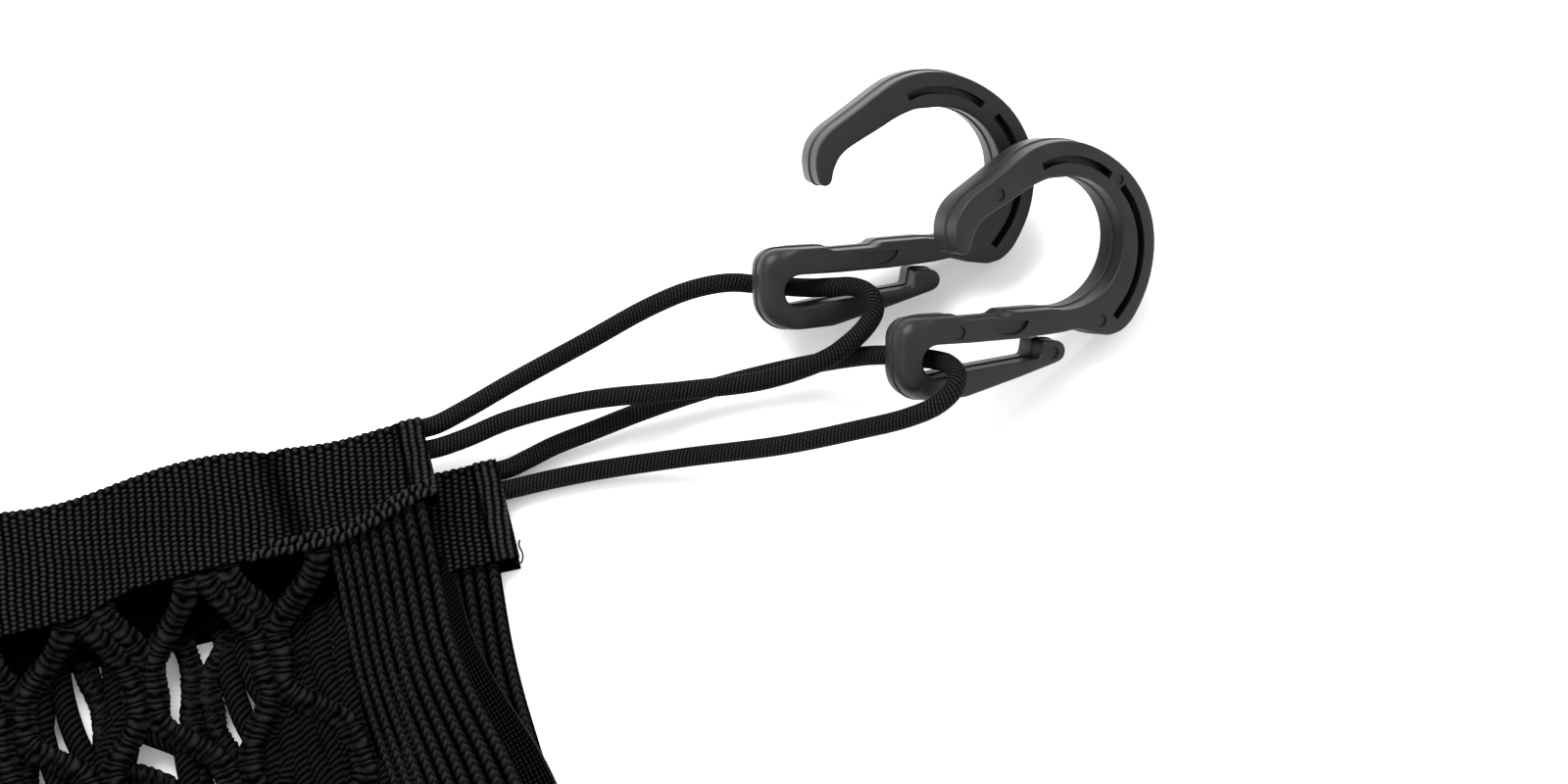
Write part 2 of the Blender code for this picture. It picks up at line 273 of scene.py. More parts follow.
def give(tree, node, values):
    # fills a node's inputs: a socket is linked, anything else is a constant
    for label, value in values.items():
        if isinstance(value, bpy.types.NodeSocket):
            tree.links.new(value, node.inputs[label])
        else:
            node.inputs[label].default_value = value


def addNode(tree, kind, values):
    node = tree.nodes.new(kind)
    give(tree, node, values)
    return node


def addNoise(tree, place, scale, detail):
    values = {"Vector": place, "Scale": scale, "Detail": detail}
    return addNode(tree, "ShaderNodeTexNoise", values).outputs["Fac"]


def newMaterial(name):
    material = bpy.data.materials.new(name)
    material.use_nodes = True
    return material, material.node_tree, material.node_tree.nodes["Principled BSDF"]


def makeRelief():
    # woven relief: ribs |sin(pi (u + slant v) / ribPitch)|, each cut into lumps
    # |sin(pi v / lumpPitch)| that are staggered from one rib to the next
    inputs = {"Weave": None, "Rib Pitch": 1.6, "Lump Pitch": 0.8, "Slant": 0.0, "Lump Share": 0.5}
    group, start, end = newGroup("wovenRelief", inputs, {"Height": 0.5})
    op = partial(mathNode, group)
    split = group.nodes.new("ShaderNodeSeparateXYZ")
    group.links.new(start.outputs["Weave"], split.inputs[0])
    lean = op("MULTIPLY", split.outputs[1], start.outputs["Slant"])
    across = op("ADD", split.outputs[0], lean)
    turns = op("DIVIDE", across, start.outputs["Rib Pitch"])
    rib = op("ABSOLUTE", op("SINE", op("MULTIPLY", turns, math.pi)))
    row = op("FLOOR", turns)
    stagger = op("MULTIPLY", op("FLOORED_MODULO", row, 2.0), 0.5)
    beads = op("DIVIDE", split.outputs[1], start.outputs["Lump Pitch"])
    beads = op("ADD", beads, stagger)
    lump = op("ABSOLUTE", op("SINE", op("MULTIPLY", beads, math.pi)))
    flat = op("SUBTRACT", 1.0, start.outputs["Lump Share"])
    lumpHeight = op("MULTIPLY_ADD", lump, start.outputs["Lump Share"], flat)
    height = op("MULTIPLY", op("POWER", rib, 0.6), lumpHeight)
    group.links.new(height, end.inputs["Height"])
    return group


def makeFibre():
    # fibre tone: a fine noise for single yarns and a broad one for handling marks scale the
    # height that mixes a dark tone, painted shade for the low parts, and a light tone, painted
    # sheen for the high parts, and vary the roughness
    black = (0.0, 0.0, 0.0, 1.0)
    inputs = {"Place": None, "Dark": black, "Light": black, "Height": 0.5, "Rough": 0.8}
    group, start, end = newGroup("fibreToneShadeSheen", inputs, {"Color": black, "Roughness": 0.5, "Fuzz": 0.5})
    op = partial(mathNode, group)
    fine = addNoise(group, start.outputs["Place"], 1900.0, 2.0)
    broad = addNoise(group, start.outputs["Place"], 60.0, 3.0)
    tone = op("MULTIPLY", start.outputs["Height"], op("MULTIPLY_ADD", fine, 0.5, 0.7))
    tone = op("MULTIPLY", tone, op("MULTIPLY_ADD", broad, 0.6, 0.65))
    mix = group.nodes.new("ShaderNodeMix")
    mix.data_type = "RGBA"
    mix.clamp_factor = True
    group.links.new(tone, mix.inputs[0])
    group.links.new(start.outputs["Dark"], mix.inputs[6])
    group.links.new(start.outputs["Light"], mix.inputs[7])
    rough = op("ADD", op("MULTIPLY_ADD", broad, 0.2, -0.1), start.outputs["Rough"])
    give(group, end, {"Color": mix.outputs[2], "Roughness": rough, "Fuzz": fine})
    return group


reliefGroup = makeRelief()
fibreGroup = makeFibre()


def fabric(name, look):
    # a textile: modelled relief and woven relief make its height, which sets tone and bump. The
    # tone is painted shade in the low parts and painted sheen on the high ones
    material, tree, shader = newMaterial(name)
    coords = tree.nodes.new("ShaderNodeTexCoord")
    modelled = tree.nodes.new("ShaderNodeAttribute")
    modelled.attribute_name = "relief"
    relief = tree.nodes.new("ShaderNodeGroup")
    relief.node_tree = reliefGroup
    give(tree, relief, {
        "Weave": coords.outputs["UV"], "Rib Pitch": look["ribPitch"], "Lump Pitch": look["lumpPitch"],
        "Slant": look["slant"], "Lump Share": look["lumpShare"],
    })
    raised = relief.outputs["Height"]
    woven = mathNode(tree, "MULTIPLY_ADD", raised, look["weaveShare"], 1.0 - look["weaveShare"])
    height = mathNode(tree, "MULTIPLY", woven, modelled.outputs["Fac"])
    # painted shade and sheen: the height, raised to depthTone, mixes the dark and the light tone
    tone = tree.nodes.new("ShaderNodeGroup")
    tone.node_tree = fibreGroup
    give(tree, tone, {
        "Place": coords.outputs["Object"], "Height": mathNode(tree, "POWER", height, look["depthTone"]),
        "Dark": (*look["dark"], 1.0), "Light": (*look["light"], 1.0), "Rough": look["rough"],
    })
    weave = addNode(tree, "ShaderNodeBump", {
        "Strength": look["relief"], "Distance": look["depth"], "Height": raised,
    })
    fuzz = addNode(tree, "ShaderNodeBump", {
        "Strength": look["fuzz"], "Distance": 0.0001, "Height": tone.outputs["Fuzz"],
        "Normal": weave.outputs["Normal"],
    })
    give(tree, shader, {
        "Base Color": tone.outputs["Color"], "Roughness": tone.outputs["Roughness"],
        "Specular IOR Level": look["specular"], "Normal": fuzz.outputs["Normal"],
    })
    return material


# dark is the painted shade tone of the low parts and light the painted sheen tone of the high parts
blackTone = {"dark": (0.0002, 0.0002, 0.0002), "light": (0.019, 0.019, 0.0195), "fuzz": 0.35, "rough": 0.52}
webbingLook = dict(
    blackTone, light=(0.034, 0.034, 0.035), ribPitch=0.4, lumpPitch=9.0, slant=0.0, lumpShare=0.0,
    weaveShare=0.2, depthTone=3.2, relief=0.3, depth=0.00005, specular=0.0,
)
elasticLook = dict(webbingLook, light=(0.021, 0.021, 0.0215), ribPitch=0.5, slant=0.6)
yarnLook = dict(
    webbingLook, light=(0.0175, 0.0175, 0.018), ribPitch=0.45, slant=-1.1, depthTone=3.5, relief=0.4,
    depth=0.00007,
)
farYarnLook = dict(
    yarnLook, light=(0.0075, 0.0075, 0.0078), ribPitch=1.45, slant=-0.5, weaveShare=0.85, relief=1.0,
    depth=0.0005,
)
braidLook = dict(
    blackTone, ribPitch=0.75, lumpPitch=0.9, slant=0.3, lumpShare=0.3, weaveShare=0.9, depthTone=2.6,
    rough=0.48, relief=1.0, depth=0.00025, specular=0.01,
)
webbingMaterial = fabric("blackWebbing", webbingLook)
elasticMaterial = fabric("blackElastic", elasticLook)
yarnMaterial = fabric("blackYarn", yarnLook)
farYarnMaterial = fabric("blackYarnFar", farYarnLook)
braidMaterial = fabric("blackBraid", braidLook)


def makePlastic():
    # charcoal moulded plastic: satin, with a faint grain and slightly uneven gloss
    material, tree, shader = newMaterial("charcoalPlastic")
    place = tree.nodes.new("ShaderNodeTexCoord").outputs["Object"]
    grain = addNoise(tree, place, 2600.0, 3.0)
    cloud = addNoise(tree, place, 140.0, 4.0)
    tone = tree.nodes.new("ShaderNodeValToRGB")
    tones = ((0.3, (0.0032, 0.0032, 0.0034, 1.0)), (0.72, (0.0066, 0.0066, 0.007, 1.0)))
    for element, (position, color) in zip(tone.color_ramp.elements, tones):
        element.position = position
        element.color = color
    tree.links.new(cloud, tone.inputs[0])
    relief = addNode(tree, "ShaderNodeBump", {"Strength": 0.18, "Distance": 0.00005, "Height": grain})
    give(tree, shader, {
        "Base Color": tone.outputs[0], "Roughness": mathNode(tree, "MULTIPLY_ADD", cloud, 0.2, 0.3),
        "Normal": relief.outputs["Normal"], "Specular IOR Level": 0.32,
    })
    return material


plasticMaterial = makePlastic()
print("materials made")


# Camera, light and ground

cameraView = {
    "aim": (0.4108, 0.1377, 0.012), "distance": 0.890, "turn": 14.0, "elevation": 62.0, "lens": 100.0,
}


def makeCamera():
    data = bpy.data.cameras.new("camera")
    data.lens = cameraView["lens"]
    data.sensor_width = 36.0
    data.clip_start = 0.01
    turn, rise = math.radians(cameraView["turn"]), math.radians(cameraView["elevation"])
    back = Vector((-math.sin(turn) * math.cos(rise), -math.cos(turn) * math.cos(rise), math.sin(rise)))
    camera = bpy.data.objects.new("camera", data)
    camera.location = Vector(cameraView["aim"]) + back * cameraView["distance"]
    camera.rotation_euler = back.to_track_quat("Z", "Y").to_euler()
    bpy.context.scene.collection.objects.link(camera)
    bpy.context.scene.camera = camera


def areaLight(name, place, aim, size, power):
    data = bpy.data.lights.new(name, "AREA")
    data.shape = "RECTANGLE"
    data.size, data.size_y = size
    data.energy = power
    lamp = bpy.data.objects.new(name, data)
    lamp.location = place
    lamp.rotation_euler = (Vector(place) - Vector(aim)).to_track_quat("Z", "Y").to_euler()
    bpy.context.scene.collection.objects.link(lamp)


def makeStudio():
    # even white surroundings, two soft lamps and a plain floor that glows a little
    white = (1.0, 1.0, 1.0, 1.0)
    world = bpy.data.worlds.new("studio")
    bpy.context.scene.world = world
    world.use_nodes = True
    give(world.node_tree, world.node_tree.nodes["Background"], {"Color": white, "Strength": 1.3})
    centre = (0.38, 0.12, 0.0)
    areaLight("softTop", (0.10, 0.75, 1.15), centre, (1.0, 0.8), 21.0)
    areaLight("softLeft", (-0.75, -0.05, 0.9), centre, (0.8, 0.8), 2.5)
    ground = bpy.data.meshes.new("ground")
    reach, level = 9.0, -0.0003
    corners = [(-reach, -reach, level), (reach, -reach, level), (reach, reach, level), (-reach, reach, level)]
    ground.from_pydata(corners, [], [(0, 1, 2, 3)])
    paper, tree, shader = newMaterial("whitePaper")
    give(tree, shader, {
        "Base Color": (0.99, 0.99, 0.99, 1.0), "Roughness": 0.9, "Specular IOR Level": 0.1,
        "Emission Color": white, "Emission Strength": 0.1,
    })
    ground.materials.append(paper)
    sheet = bpy.data.objects.new("ground", ground)
    bpy.context.scene.collection.objects.link(sheet)
    bpy.context.scene.view_settings.view_transform = "Standard"


makeCamera()
makeStudio()
print("camera and studio made")


# Bungee loops

cordSizes = {"diameter": 4.0, "step": 0.55, "sides": 22}

# Routes from the band's end, round the hook and back, as the frame has them
cordRoutes = {
    "front": (
        (337.2, 148.6, 9.6), (340.4, 148.8, 9.6), (346.8, 150.7, 9.7), (357.2, 154.4, 9.8),
        (375.2, 160.3, 9.9), (388.7, 164.9, 9.8), (398.0, 166.9, 9.6), (406.2, 166.9, 9.2),
        (414.1, 165.2, 7.6), (419.0, 163.1, 8.4), (422.8, 160.4, 11.1), (426.5, 157.9, 14.2),
        (430.3, 155.7, 16.3), (432.8, 152.4, 17.4), (432.7, 148.8, 17.3), (429.9, 145.7, 16.8),
        (425.5, 143.0, 16.3), (420.4, 141.0, 15.9), (407.6, 140.0, 14.6), (391.5, 142.4, 13.0),
        (371.6, 145.8, 11.4), (355.1, 145.9, 10.3), (346.0, 144.3, 9.8), (340.6, 143.6, 9.6),
        (337.2, 143.5, 9.6),
    ),
    "back": (
        (350.4, 138.7, 3.0), (353.4, 138.9, 3.0), (357.6, 140.0, 3.1), (363.2, 141.5, 3.3),
        (371.1, 142.7, 3.7), (382.6, 144.4, 4.4), (395.0, 145.4, 5.4), (407.5, 145.5, 6.6),
        (418.7, 144.6, 8.2), (425.1, 143.2, 10.2), (430.4, 141.1, 12.9), (434.6, 139.0, 14.7),
        (438.3, 136.9, 15.9), (441.3, 134.1, 18.7), (443.4, 130.9, 21.7), (444.1, 127.3, 23.5),
        (442.6, 124.0, 23.7), (438.8, 122.0, 22.5), (432.6, 121.9, 19.9), (422.1, 123.9, 15.4),
        (407.8, 126.6, 10.6), (388.2, 131.2, 5.6), (370.3, 133.7, 3.5), (359.4, 134.2, 3.0),
        (354.0, 134.1, 3.0), (350.4, 134.1, 3.0),
    ),
}


def smoothRoute(points, step):
    # centripetal Catmull-Rom curve through the points: on each span three linear blends of
    # neighbours, two blends of those and one of these, then points one step apart
    p = np.array(points, float)
    p = np.vstack([2 * p[0] - p[1], p, 2 * p[-1] - p[-2]])
    p0, p1, p2, p3 = p[:-3, None], p[1:-2, None], p[2:-1, None], p[3:, None]
    t1 = np.sqrt(np.linalg.norm(p1 - p0, axis=2, keepdims=True))
    t2 = t1 + np.sqrt(np.linalg.norm(p2 - p1, axis=2, keepdims=True))
    t3 = t2 + np.sqrt(np.linalg.norm(p3 - p2, axis=2, keepdims=True))
    t = t1 + (t2 - t1) * (np.arange(24) / 24.0)[None, :, None]
    a1 = p0 + (p1 - p0) * t / t1
    a2 = p1 + (p2 - p1) * (t - t1) / (t2 - t1)
    a3 = p2 + (p3 - p2) * (t - t2) / (t3 - t2)
    b1 = a1 + (a2 - a1) * t / t2
    b2 = a2 + (a3 - a2) * (t - t1) / (t3 - t1)
    dense = (b1 + (b2 - b1) * (t - t1) / (t2 - t1)).reshape(-1, 3)
    dense = np.vstack([dense, p[-2]])
    s = along(dense)
    wanted = steps(0.0, s[-1], step)
    return np.stack([np.interp(wanted, s, dense[:, k]) for k in range(3)], 1)


def makeCord(layer, side, word):
    # a round tube along its route, whose braided cover is in the material
    size = cordSizes
    path = smoothRoute(cordRoutes[layer], size["step"])
    path[:, 0] *= side
    s = along(path)
    sideways, normal = carriedFrames(path, (0.0, 0.0, 1.0))
    angles = np.linspace(0.0, 2 * math.pi, size["sides"], endpoint=False)
    radius = np.full((len(s), len(angles)), size["diameter"] / 2.0)
    grid = ring(path, sideways, normal, angles, radius, radius)
    around = np.linspace(0.0, math.pi * size["diameter"], size["sides"] + 1)
    name = f"bungee_{layer}_{word}"
    cord = tubes(name, [grid], [s], [around], braidMaterial)
    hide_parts(f"cord_{layer}_{word}")
    return cord, path, s[-1]


# Hooks

hookSizes = {
    "thickness": 9.4, "ringInner": 13.7, "spacing": 0.55, "rounding": 0.5, "endRounding": 2.6,
    "grooveDepth": 3.2, "grooveWidth": 1.6, "discDepth": 0.4,
}
ringOutside = (
    (-26.2, 1.2), (-26.1, 3.8), (-25.2, 6.4), (-23.2, 8.8), (-20.0, 11.0), (-16.0, 13.6), (-12.0, 16.3),
    (-8.0, 18.6), (-4.0, 19.8), (0.0, 20.1), (4.0, 19.6), (8.5, 18.0), (13.0, 15.4), (17.0, 11.9),
    (20.0, 7.6), (21.8, 3.0), (22.4, -2.0), (21.9, -7.0), (20.6, -11.4), (18.6, -15.4), (16.8, -18.0),
    (14.4, -19.9),
)
grooveMiddles = (
    ((-5.8, 15.0), (-2.5, 16.1), (1.0, 16.3), (5.0, 15.6), (8.3, 14.3), (10.9, 12.6)),
    ((13.8, 10.3), (16.3, 6.9), (18.1, 2.6), (18.8, -2.0), (18.3, -7.0), (16.4, -12.0), (12.8, -16.9)),
)
pinMarks = (
    ((13.0, 11.7), 1.1), ((-16.2, 9.6), 1.35), ((9.2, -17.4), 1.4), ((-25.2, -18.1), 1.45),
    ((-2.4, -23.4), 1.3),
)
hookPlaces = {
    "front": ((452.5, 175.3, 23.0), (-1.0, 15.0, 38.0)),
    "back": ((473.7, 151.7, 24.7), (4.0, 24.0, 40.0)),
}


def arc(centre, radius, start, end, count):
    a = np.radians(np.linspace(start, end, count))
    return np.stack([centre[0] + radius * np.cos(a), centre[1] + radius * np.sin(a)], 1)


def eased(points, step):
    # a smooth curve through flat points
    return smoothRoute([(u, v, 0.0) for u, v in points], step)[:, :2]


def hookOutline():
    # the moulding's outline: arm and ring, lobe, stem, slot, tongue, tail, recess, inner ring and tip
    runs = [
        eased(ringOutside, 0.6),
        [(11.6, -20.6), (8.6, -20.2), (3.6, -18.8), (0.0, -19.4), (-10.0, -20.1), (-22.0, -20.4)],
        arc((-30.2, -23.8), 3.4, 90.0, 268.0, 14),
        [(-23.5, -26.2), (-5.2, -24.4), (-4.7, -20.9), (-2.8, -20.9)],
        arc((-1.5, -23.2), 2.3, 70.0, -66.0, 10),
        [(-10.0, -28.0), (-23.0, -31.4)],
        arc((-31.8, -25.2), 6.6, -88.0, -180.0, 12),
        arc((-34.2, -19.2), 4.2, 180.0, 92.0, 10),
        [(-24.0, -15.0), (-22.8, -15.8), (-13.4, -15.6), (-12.4, -14.6)],
        arc((0.9, -1.0), hookSizes["ringInner"], -102.0, 95.0, 50),
        eased([(-4.2, 12.5), (-8.0, 11.1), (-12.0, 8.9), (-16.0, 6.8), (-19.6, 4.7), (-21.3, 3.0)], 0.6),
        [(-22.3, 0.8), (-22.6, -0.6)],
        arc((-24.2, -0.9), 1.6, -15.0, -165.0, 8),
    ]
    points = np.concatenate([np.array(run, float) for run in runs])
    closed = np.vstack([points, points[:1]])
    s = along(closed)
    wanted = np.linspace(0.0, s[-1], int(s[-1] / hookSizes["spacing"]), endpoint=False)
    even = np.stack([np.interp(wanted, s, closed[:, k]) for k in range(2)], 1)
    for _ in range(2):  # eases the corners a little
        even = 0.25 * np.roll(even, 1, 0) + 0.5 * even + 0.25 * np.roll(even, -1, 0)
    return even


def outwardNormals(points):
    # the closed outline runs clockwise, so its left side is outside
    tangent = np.roll(points, -1, 0) - np.roll(points, 1, 0)
    tangent /= np.linalg.norm(tangent, axis=1)[:, None]
    return np.stack([-tangent[:, 1], tangent[:, 0]], 1)


def grooveOutline(points):
    # a curved slot: its middle line offset by half its width to both sides
    middle = eased(points, 0.8)
    tangent = np.gradient(middle, axis=0)
    tangent /= np.linalg.norm(tangent, axis=1)[:, None]
    aside = np.stack([-tangent[:, 1], tangent[:, 0]], 1) * hookSizes["grooveWidth"] / 2.0
    return np.concatenate([middle + aside, (middle - aside)[::-1]])


def hookPockets(withDiscs):
    # sunk details of the face, each with its depth: the groove in two runs, a half-round
    # dimple in the stem and the small round marks of the mould's pins
    size = hookSizes
    around = np.radians(np.linspace(180.0, 360.0, 17))
    dimple = np.stack([-13.0 + 4.5 * np.cos(around), -16.4 + 2.9 * np.sin(around)], 1)
    pockets = [(grooveOutline(points), size["grooveDepth"]) for points in grooveMiddles]
    pockets.append((dimple, 0.8))
    if withDiscs:
        pockets += [(arc(centre, radius, 360.0, 15.0, 24), size["discDepth"]) for centre, radius in pinMarks]
    return pockets


def fillPlane(loops, height):
    # triangles across flat loops, the first the outside and the others holes in it
    rings = [[Vector((x, y, 0.0)) for x, y in loop] for loop in loops]
    return np.array(tessellate_polygon(rings)), np.concatenate(
        [np.column_stack([loop, np.full(len(loop), height)]) for loop in loops])


def hookMesh(withDiscs):
    # points and faces of the moulding in its own frame. The side wall carries the outline
    # through the thickness, drawn in at both faces by a rounding and out at the parting line
    size = hookSizes
    outline = hookOutline()
    normal = outwardNormals(outline)
    deep = size["thickness"]
    outside = smooth((np.linalg.norm(outline - np.array([-30.0, -22.5]), axis=1) - 5.2) / 1.0)
    r = size["rounding"] + size["endRounding"] * outside * smooth((-29.5 - outline[:, 0]) / 5.0)
    bend = np.radians(np.linspace(0.0, 90.0, 6))[:, None]
    half = np.full_like(outline[:, 0], deep / 2)
    line = np.stack([half - 0.45, half - 0.22, half + 0.22, half + 0.45])
    lineOut = np.array([0.0, -0.28, -0.28, 0.0])[:, None] + 0.0 * line
    inset = np.concatenate([r * (1 - np.sin(bend)), lineOut, (r * (1 - np.sin(bend)))[::-1]])
    depth = np.concatenate([r * (1 - np.cos(bend)), line, (deep - r * (1 - np.cos(bend)))[::-1]])
    wall = np.empty((len(inset), len(outline), 3))
    wall[:, :, :2] = outline[None] - normal[None] * inset[:, :, None]
    wall[:, :, 2] = -depth
    verts, quads, tris = [wall.reshape(-1, 3)], [], []
    count = len(outline)
    i, j = np.meshgrid(np.arange(len(inset) - 1), np.arange(count), indexing="ij")
    k = (j + 1) % count
    below = (i + 1) * count
    quads.append(np.stack([i * count + j, i * count + k, below + k, below + j], -1).reshape(-1, 4))
    first = wall.shape[0] * count
    upper, under = (wall[0], 0.0, hookPockets(withDiscs)), (wall[-1], -deep, hookPockets(False)[:2])
    for rim, height, holes in (upper, under):
        loops = [rim[:, :2]] + [loop for loop, _ in holes]
        faces, points = fillPlane(loops, height)
        tris.append((faces if height == 0.0 else faces[:, ::-1]) + first)
        verts.append(points)
        first += len(points)
        for loop, sunk in holes:
            floor = height - sunk if height == 0.0 else height + sunk
            n = len(loop)
            a, b = np.arange(n), (np.arange(n) + 1) % n
            side = np.stack([first + a, first + b, first + n + b, first + n + a], -1)
            quads.append(side if height == 0.0 else side[:, ::-1])
            verts.append(np.column_stack([loop, np.full(n, height)]))
            cover, points = fillPlane([loop], floor)
            tris.append((cover if height == 0.0 else cover[:, ::-1]) + first + n)
            verts.append(points)
            first += 2 * n
    return np.concatenate(verts), np.concatenate(quads), np.concatenate(tris)


def hookMatrix(layer, side):
    centre, angles = hookPlaces[layer]
    turn, dip, lean = (math.radians(a) for a in angles)
    axes = Matrix.Rotation(turn, 4, "Z") @ Matrix.Rotation(dip, 4, "Y") @ Matrix.Rotation(lean, 4, "X")
    return np.array(Matrix.Scale(side, 4, (1.0, 0.0, 0.0)) @ Matrix.Translation(Vector(centre)) @ axes)


def makeHook(layer, side, word):
    verts, quads, tris = hookMesh(layer == "back")
    place = hookMatrix(layer, side)
    world = verts @ place[:3, :3].T + place[:3, 3]
    uvOf = verts[:, :2]
    uvs = [uvOf[quads], uvOf[tris]]
    mould = putMesh(f"hook_moulding_{layer}_{word}", world, [quads, tris], uvs, plasticMaterial)
    bpy.context.view_layer.objects.active = mould
    cleanMesh(mould)
    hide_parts(f"hook_{layer}_{word}")
    return mould


def cleanMesh(thing):
    # joins the matching rims of walls and faces, turns everything outwards and keeps crisp edges
    bm = bmesh.new()
    bm.from_mesh(thing.data)
    bmesh.ops.remove_doubles(bm, verts=bm.verts, dist=0.000004)
    bmesh.ops.recalc_face_normals(bm, faces=bm.faces)
    bm.to_mesh(thing.data)
    bm.free()
    thing.data.shade_smooth()
    thing.data.set_sharp_from_angle(angle=math.radians(32.0))


for side, word in ((1, "right"), (-1, "left")):
    for layer in ("front", "back"):
        mould = makeHook(layer, side, word)
        cord, path, length = makeCord(layer, side, word)
print("loops and hooks made")


# Woven top bands

bandSizes = {
    "leaf": 1.1, "radius": 2.35, "ribPitch": 1.6, "ribHeight": 0.42, "ribLean": -0.1, "lumpPitch": 1.08,
    "nearStep": 0.27, "farStep": 9.0, "nearFrom": {"front": 232.0, "back": 300.0}, "turnedEdge": 5.2,
    "leafSteps": 104, "endCover": 0.7, "dent": 307.0, "dentDepth": 0.7,
}


def bandProfile(leafSteps):
    # closed section of the folded webbing as (share down the leaf, turn angle, offset): the
    # outer side up the front leaf, over the fold and down the back, then the inner side back
    size = bandSizes
    outer, inner = size["radius"] + size["leaf"] / 2, size["radius"] - size["leaf"] / 2
    share = np.linspace(1.0, 0.0, leafSteps)
    turn = np.radians(np.linspace(90.0, -90.0, 11))[1:-1]
    backShare = np.linspace(0.0, 1.0, 14)
    innerShare = np.linspace(1.0, 0.0, 8)
    rows = [(f, 90.0, outer) for f in share]
    rows += [(0.0, math.degrees(a), outer) for a in turn]
    rows += [(f, -90.0, outer) for f in backShare]
    rows += [(f, -90.0, inner) for f in innerShare]
    rows += [(0.0, math.degrees(a), inner) for a in turn[::-2]]
    rows += [(f, 90.0, inner) for f in innerShare[::-1]]
    return np.array(rows)


def makeBand(layer, half, bandName):
    # folded webbing: each station along x carries the section, whose outer side stands out
    # by ribHeight |sin(pi x / ribPitch)| in ribs across the band
    size = bandSizes
    near = size["nearFrom"][layer]
    half = half + size["endCover"]
    x = joined(steps(-half, -near, size["farStep"]), steps(-near, near, size["farStep"]),
               steps(near, half, size["nearStep"]))
    rows = bandProfile(size["leafSteps"])
    top, low = bandTop(x, layer), bandLow(x, layer)
    outerRadius = size["radius"] + size["leaf"] / 2
    fold = top - outerRadius
    share, angle, offset = rows[:, 0], np.radians(rows[:, 1]), rows[:, 2]
    y = fold[:, None] - share[None] * (fold - low)[:, None]
    outside = (offset > size["radius"]).astype(float)
    wander = 0.12 * np.sin(y / 3.1 + x[:, None] / 7.0) + 0.07 * np.sin(y / 0.9 - x[:, None] / 2.3)
    turns = (x[:, None] + size["ribLean"] * (y - fold[:, None]) + wander) / size["ribPitch"]
    lumps = (y - fold[:, None] - size["radius"] * np.cos(angle)[None]) / size["lumpPitch"]
    lumps = lumps + 0.5 * (np.floor(turns) % 2)
    coarse = smooth((x - near) / 2.0)[:, None]
    edge = smooth((half - size["turnedEdge"] - np.abs(x)) / 0.5)[:, None]
    lumpShare = 0.4 + 0.5 * edge
    dent = bump(x[:, None] + 0.16 * (y - low[:, None]), size["dent"] + 2.0, 2.2) * (layer == "front")
    rib = np.abs(np.sin(math.pi * turns)) ** 0.7
    rib = rib * (1.0 - lumpShare * (1.0 - np.abs(np.sin(math.pi * lumps)) ** 0.7))
    crease = bump(np.abs(x), half - size["turnedEdge"], 0.45)[:, None]
    relief = outside[None] * (coarse * size["ribHeight"] * rib + 0.3 * (1.0 - edge) - 0.2 * crease
                               - size["dentDepth"] * dent)
    reach = offset[None] + relief - 0.2 * outside[None]
    yAll = y + reach * np.cos(angle)[None]
    z = bandMiddle(x[:, None], y, layer) + reach * np.sin(angle)[None]
    grid = np.stack([np.broadcast_to(x[:, None], yAll.shape), yAll, z], -1)
    around = along(np.vstack([grid[0], grid[0][:1]]))
    # painted shade in the relief attribute: darker in the rib valleys, the crease and the dent, at 0.3 on the
    # inner side of the fold, and down to a quarter on the back band where the front layer lies over it
    raised = (1.0 - coarse * (1.0 - rib)) * (1.0 - 0.6 * crease) * (1.0 - 0.3 * dent)
    raised = raised * np.where(outside[None] > 0, 1.0, 0.3)
    shadeUnderFront = 1.0 - smooth((x - 333.0) / 3.0)[:, None] if layer == "back" else 0.0
    raised = raised * (1.0 - 0.75 * shadeUnderFront)
    piece = tubes(bandName, [grid], [x], [around], webbingMaterial, [raised])
    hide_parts(f"top_band_{layer}")
    return piece


bands = {
    "front": makeBand("front", layout["halfLength"] - layout["frontInset"], "woven_band_front"),
    "back": makeBand("back", layout["halfLength"], "woven_band_back"),
}
print("bands made")


# Net panel

netSizes = {
    "strand": 2.35, "braidPitch": 1.45, "braidSlope": 0.85, "braidHeight": 0.68,
    "backMid": 2.7, "frontMid": 6.7, "nearRows": 3.3, "frontNear": 8, "backNear": 13,
    "pleat": (39, 40, 41, 42, 43, 46, 47, 48, 49, 50, 51), "pleatSlack": (-5.5, 4.6, -10.8),
    "doubled": (44, 46, 48, 50),
    "frontStep": 0.0105, "backStep": 0.022, "pleatStep": 0.04, "farStep": 0.14,
    "side": {"front": 22, "back": 16, "pleat": 10, "far": 6}, "rows": 13,
}
# Heights of the first rows of nodes under the band, the rest spread evenly to the bottom fold
firstRows = {"front": (105.5, 82.5), "back": (99.0, 78.0)}

# How far single nodes near the corner are pulled from the even lattice: row, column, x, y
nodePulls = {
    "front": (
        (0, 50, -2.3, 0.0), (0, 48, -3.6, 0.0), (1, 51, -2.4, 0.5), (1, 49, -4.2, -0.5), (1, 47, -6.6, -1.0),
        (2, 50, -2.0, -1.0), (2, 48, -4.4, 2.5), (2, 52, 0.0, 1.5), (3, 51, 1.5, -1.0), (3, 49, -3.0, 1.0),
    ),
    "back": (
        (0, 44, 0.5, 0.0), (0, 46, -1.0, 0.0), (1, 45, -3.0, 1.5), (1, 43, -2.0, -3.0), (1, 47, 2.0, -3.0),
        (2, 44, 2.5, 3.0), (2, 46, -2.5, 1.0), (2, 42, 2.0, -2.0), (3, 45, 2.0, 2.0), (3, 43, -2.0, -1.0),
    ),
}


def gathered(u, share, layer):
    # the back layer's columns crowd towards its sides: x / half width = (1 - g) u + g sin(pi u / 2)
    g = 0.85 * share if layer == "back" else 0.0 * share
    return (1.0 - g) * u + g * np.sin(0.5 * math.pi * u)


